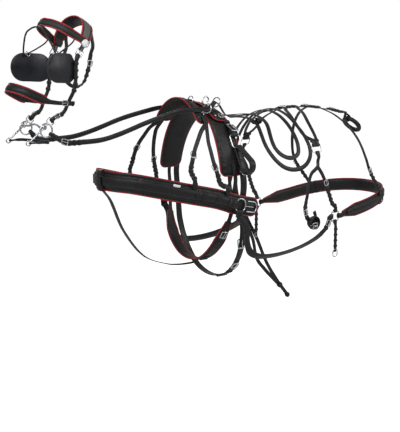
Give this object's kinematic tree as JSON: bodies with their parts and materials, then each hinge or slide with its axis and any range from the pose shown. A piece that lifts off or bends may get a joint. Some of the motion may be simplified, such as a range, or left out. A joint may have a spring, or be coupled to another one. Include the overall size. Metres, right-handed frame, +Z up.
{
  "type": "driving harness",
  "caption": "Single-horse driving harness as worn: blinker bridle, lever bit, reins, padded breastcollar, traces, neck strap, saddle with shaft tugs, girth, and breeching with crupper",
  "frame": {"origin": "on the wearer's back in the middle of the saddle pad's rear half, on the skin line that the harness is cut for", "axes": "+X to the tail, +Y to the wearer's right (the far side), +Z up"},
  "size_m": [2.4217, 0.7004, 1.6686],
  "materials": {
    "padded_leather": "padded black leather, grained",
    "chrome": "polished chrome plate",
    "strap_leather": "smooth black harness leather"
  },
  "bodies": {
    "harness": {"crown_piece": "padded_leather", "browband": "padded_leather", "noseband": "padded_leather", "breastcollar_pad": "padded_leather", "neck_pad": "padded_leather", "saddle_pad": "padded_leather", "saddle_seat": "padded_leather", "girth": "padded_leather", "breeching": "padded_leather", "bit_mouthpiece": "chrome", "near_bit_cheek": "chrome", "far_bit_cheek": "chrome", "near_cheek_buckle": "chrome", "far_cheek_buckle": "chrome", "near_trace_buckle": "chrome", "far_trace_buckle": "chrome", "near_neck_terret": "chrome", "far_neck_terret": "chrome", "near_front_uptug_buckle": "chrome", "far_front_uptug_buckle": "chrome", "near_rear_uptug_buckle": "chrome", "far_rear_uptug_buckle": "chrome", "near_saddle_terret": "chrome", "far_saddle_terret": "chrome", "saddle_hook": "chrome", "near_tug_buckle": "chrome", "far_tug_buckle": "chrome", "belly_band_buckle": "chrome", "near_hip_ring": "chrome", "far_hip_ring": "chrome", "near_breeching_ring": "chrome", "far_breeching_ring": "chrome", "near_cheekpiece": "strap_leather", "far_cheekpiece": "strap_leather", "near_blinker": "strap_leather", "far_blinker": "strap_leather", "blinker_stay": "strap_leather", "throatlash": "strap_leather", "near_rein": "strap_leather", "far_rein": "strap_leather", "breastcollar_strap": "strap_leather", "near_trace": "strap_leather", "far_trace": "strap_leather", "false_martingale": "strap_leather", "near_uptugs": "strap_leather", "far_uptugs": "strap_leather", "backband": "strap_leather", "belly_band": "strap_leather", "backstrap": "strap_leather", "front_loin_strap": "strap_leather", "rear_loin_strap": "strap_leather", "near_hip_fork": "strap_leather", "far_hip_fork": "strap_leather", "rear_hip_strap": "strap_leather"},
    "near_tug": {"near_shaft_tug": "strap_leather"},
    "far_tug": {"far_shaft_tug": "strap_leather"},
    "near_holdback": {"near_holdback": "strap_leather"},
    "far_holdback": {"far_holdback": "strap_leather"},
    "curb": {"curb_strap": "strap_leather"},
    "crupper": {"crupper": "padded_leather"}
  },
  "joints": [
    {"name": "near_tug_swing", "type": "hinge", "parent": "harness", "child": "near_tug", "pos_m": [0.01371, -0.2357, -0.16525], "axis": [-1, 0, 0], "range_deg": [0, 40]},
    {"name": "far_tug_swing", "type": "hinge", "parent": "harness", "child": "far_tug", "pos_m": [0.01371, 0.2357, -0.16525], "axis": [1, 0, 0], "range_deg": [0, 40]},
    {"name": "near_holdback_swing", "type": "hinge", "parent": "harness", "child": "near_holdback", "pos_m": [0.66, -0.3102, -0.602], "axis": [-1, 0, 0], "range_deg": [-10, 50]},
    {"name": "far_holdback_swing", "type": "hinge", "parent": "harness", "child": "far_holdback", "pos_m": [0.66, 0.3102, -0.602], "axis": [1, 0, 0], "range_deg": [-10, 6]},
    {"name": "curb_swing", "type": "hinge", "parent": "harness", "child": "curb", "pos_m": [-1.08659, 0, -0.09007], "axis": [0, 1, 0], "range_deg": [0, 75]},
    {"name": "crupper_swing", "type": "hinge", "parent": "harness", "child": "crupper", "pos_m": [1.09, 0, -0.08], "axis": [0, 1, 0], "range_deg": [-25, 30]}
  ]
}
